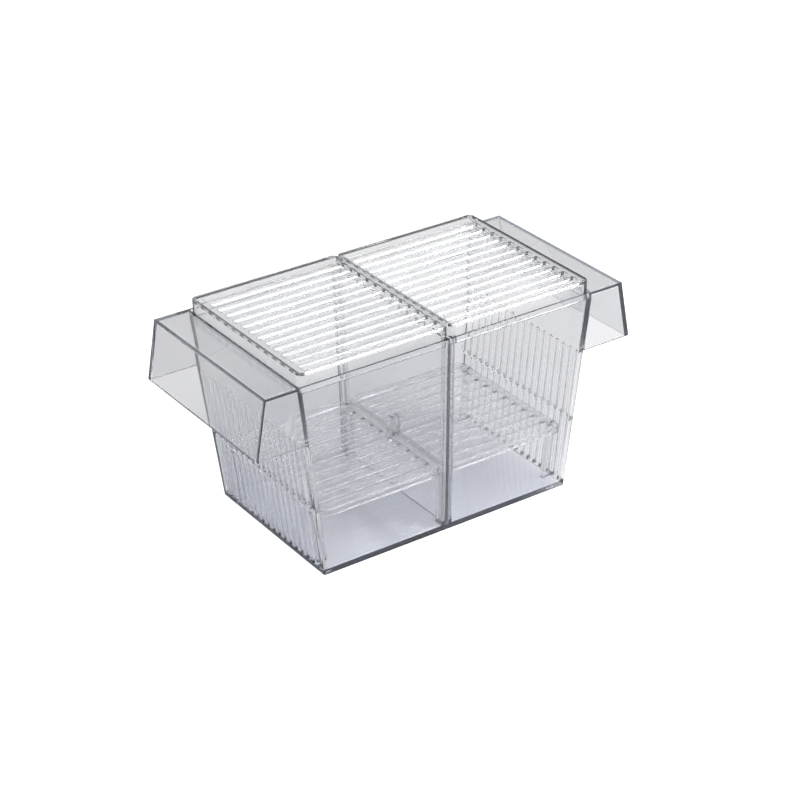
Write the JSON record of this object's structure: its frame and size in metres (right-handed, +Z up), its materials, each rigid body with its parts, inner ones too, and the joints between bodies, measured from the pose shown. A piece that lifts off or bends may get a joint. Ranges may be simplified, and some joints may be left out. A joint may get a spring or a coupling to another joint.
{
  "type": "fish breeding box",
  "caption": "Clear twin floating breeding box: tapered slotted tank with hollow end floats, lift-out divider, slatted floor grids and slatted lids.",
  "frame": {"origin": "middle of the tank's flat underside", "axes": "+Z up, X along the length from float to float, -Y is the front long wall"},
  "size_m": [0.2038, 0.0944, 0.106],
  "materials": {
    "tank_plastic": "clear moulded polystyrene, polished",
    "divider_plastic": "clear moulded polystyrene sheet, polished",
    "grid_plastic": "clear moulded polystyrene, polished",
    "lid_plastic": "clear moulded polystyrene, polished"
  },
  "bodies": {
    "tank": {"tank": "tank_plastic"},
    "divider": {"divider": "divider_plastic"},
    "floor_grid_left": {"floor_grid_left": "grid_plastic"},
    "floor_grid_right": {"floor_grid_right": "grid_plastic"},
    "lid_left": {"lid_left": "lid_plastic"},
    "lid_right": {"lid_right": "lid_plastic"}
  },
  "joints": [
    {"name": "divider_lift", "type": "slide", "parent": "tank", "child": "divider", "axis": [0, 0, 1], "range_m": [0, 0.11]},
    {"name": "floor_grid_left_lift", "type": "slide", "parent": "divider", "child": "floor_grid_left", "axis": [0, 0, 1], "range_m": [0, 0.09]},
    {"name": "floor_grid_right_lift", "type": "slide", "parent": "divider", "child": "floor_grid_right", "axis": [0, 0, 1], "range_m": [0, 0.09]},
    {"name": "lid_left_lift", "type": "slide", "parent": "floor_grid_left", "child": "lid_left", "axis": [0, 0, 1], "range_m": [0, 0.05]},
    {"name": "lid_right_lift", "type": "slide", "parent": "floor_grid_right", "child": "lid_right", "axis": [0, 0, 1], "range_m": [0, 0.05]}
  ]
}
